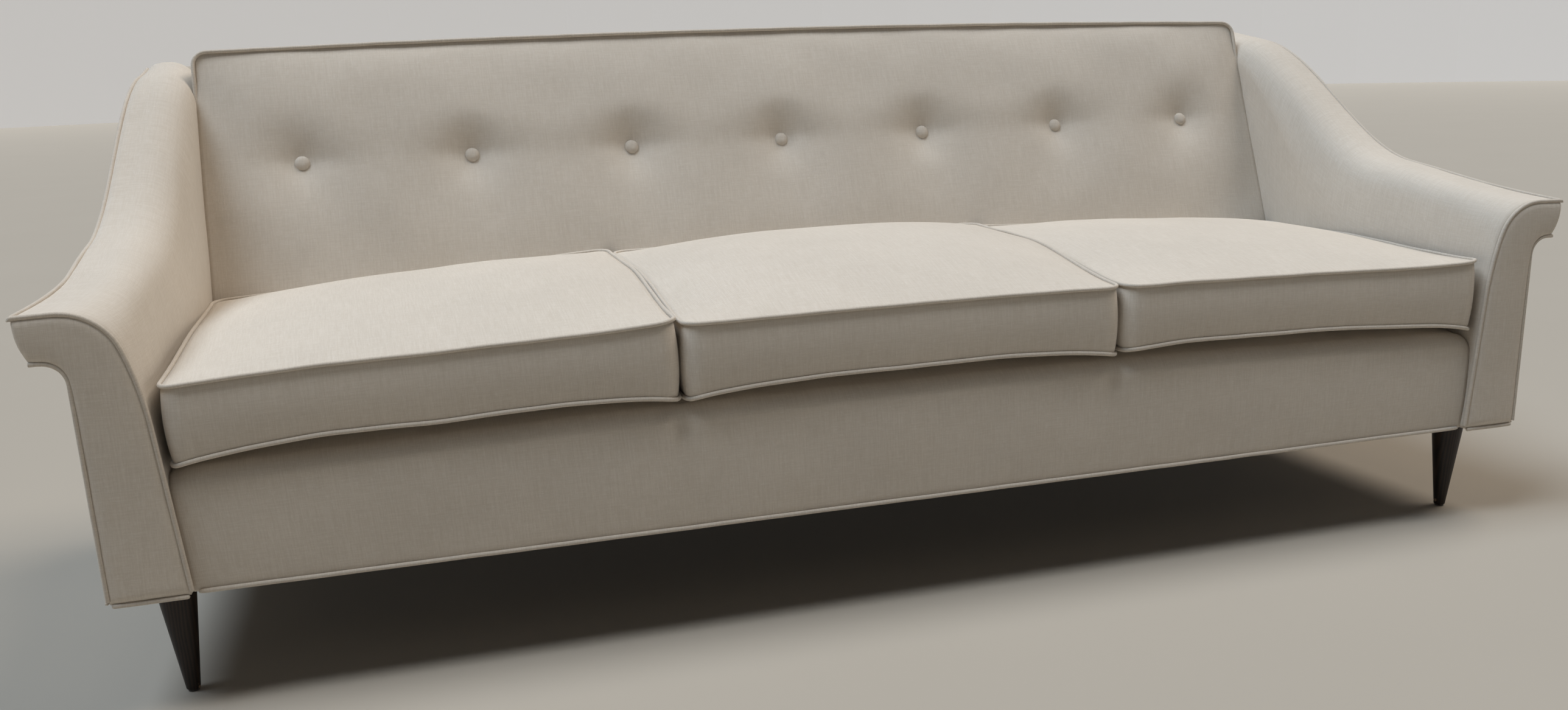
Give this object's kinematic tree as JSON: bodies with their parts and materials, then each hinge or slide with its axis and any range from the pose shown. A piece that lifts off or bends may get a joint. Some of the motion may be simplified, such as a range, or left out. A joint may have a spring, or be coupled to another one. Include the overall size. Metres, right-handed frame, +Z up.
{
  "type": "tufted three-seat sofa",
  "caption": "Three-seat upholstered sofa with a raked button-tufted back, swooping arms that roll outwards, loose boxed seat cushions and short round tapered wooden legs.",
  "frame": {"origin": "on the floor, under the middle of the sofa's outline in width and depth", "axes": "+X along the sofa to the right of a person who looks at its front, +Y from the front to the back, +Z up"},
  "size_m": [2.2852, 0.7993, 0.8414],
  "materials": {
    "linen": "matt plain weave",
    "decking_cloth": "matt plain weave",
    "foam": "matt open cell",
    "webbing": "matt coarse weave",
    "twine": "matt twisted",
    "dust_cloth": "matt non-woven",
    "zip_tape": "matt woven",
    "frame_wood": "sawn, unfinished",
    "leg_wood": "dark stain, satin",
    "spring_steel": "oiled wire",
    "hardware_steel": "zinc plated",
    "zip_metal": "satin",
    "glide_plastic": "matt"
  },
  "bodies": {
    "sofa": {"front_rail": "frame_wood", "back_rail": "frame_wood", "side_rails": "frame_wood", "seat_stretchers": "frame_wood", "corner_blocks": "frame_wood", "frame_screws": "hardware_steel", "seat_springs": "spring_steel", "spring_clips": "hardware_steel", "deck_pad": "foam", "deck_cover": "decking_cloth", "front_edge_pad": "foam", "front_rail_cover": "linen", "arm_lower_rails": "frame_wood", "arm_front_boards": "frame_wood", "arm_top_rails": "frame_wood", "arm_posts": "frame_wood", "arm_bolts": "hardware_steel", "back_pad": "foam", "back_cover": "linen", "back_welt": "linen", "back_webbing": "webbing", "back_top_rail": "frame_wood", "back_lower_rail": "frame_wood", "back_uprights": "frame_wood", "rear_posts": "frame_wood", "tuft_buttons": "linen", "tuft_twines": "twine", "outside_back_panel": "linen", "dust_cover": "dust_cloth", "bottom_welt": "linen", "leg_plates": "hardware_steel", "hanger_bolts": "hardware_steel", "floor_glides": "glide_plastic", "arm_cover_right": "linen", "arm_pad_right": "foam", "arm_facing_right": "linen", "arm_welt_right": "linen", "leg_front_right": "leg_wood", "leg_rear_right": "leg_wood", "arm_cover_left": "linen", "arm_pad_left": "foam", "arm_facing_left": "linen", "arm_welt_left": "linen", "leg_front_left": "leg_wood", "leg_rear_left": "leg_wood"},
    "seat_cushion_left": {"cushion_cover_left": "linen", "cushion_core_left": "foam", "cushion_welts_left": "linen", "zip_tape_left": "zip_tape"},
    "seat_cushion_centre": {"cushion_cover_centre": "linen", "cushion_core_centre": "foam", "cushion_welts_centre": "linen", "zip_tape_centre": "zip_tape"},
    "seat_cushion_right": {"cushion_cover_right": "linen", "cushion_core_right": "foam", "cushion_welts_right": "linen", "zip_tape_right": "zip_tape"},
    "zip_slider_left": {"zip_slider_left": "zip_metal"},
    "zip_slider_centre": {"zip_slider_centre": "zip_metal"},
    "zip_slider_right": {"zip_slider_right": "zip_metal"}
  },
  "joints": [
    {"name": "lift_off_left", "type": "slide", "parent": "sofa", "child": "seat_cushion_left", "axis": [0, 0, 1], "range_m": [0, 0.5]},
    {"name": "lift_off_centre", "type": "slide", "parent": "sofa", "child": "seat_cushion_centre", "axis": [0, 0, 1], "range_m": [0, 0.5]},
    {"name": "lift_off_right", "type": "slide", "parent": "sofa", "child": "seat_cushion_right", "axis": [0, 0, 1], "range_m": [0, 0.5]},
    {"name": "zip_left", "type": "slide", "parent": "seat_cushion_left", "child": "zip_slider_left", "axis": [-0.9997, 0, -0.0252], "range_m": [0, 0.438]},
    {"name": "zip_centre", "type": "slide", "parent": "seat_cushion_centre", "child": "zip_slider_centre", "axis": [1, 0, 0], "range_m": [0, 0.438]},
    {"name": "zip_right", "type": "slide", "parent": "seat_cushion_right", "child": "zip_slider_right", "axis": [0.9997, 0, -0.0252], "range_m": [0, 0.438]}
  ]
}
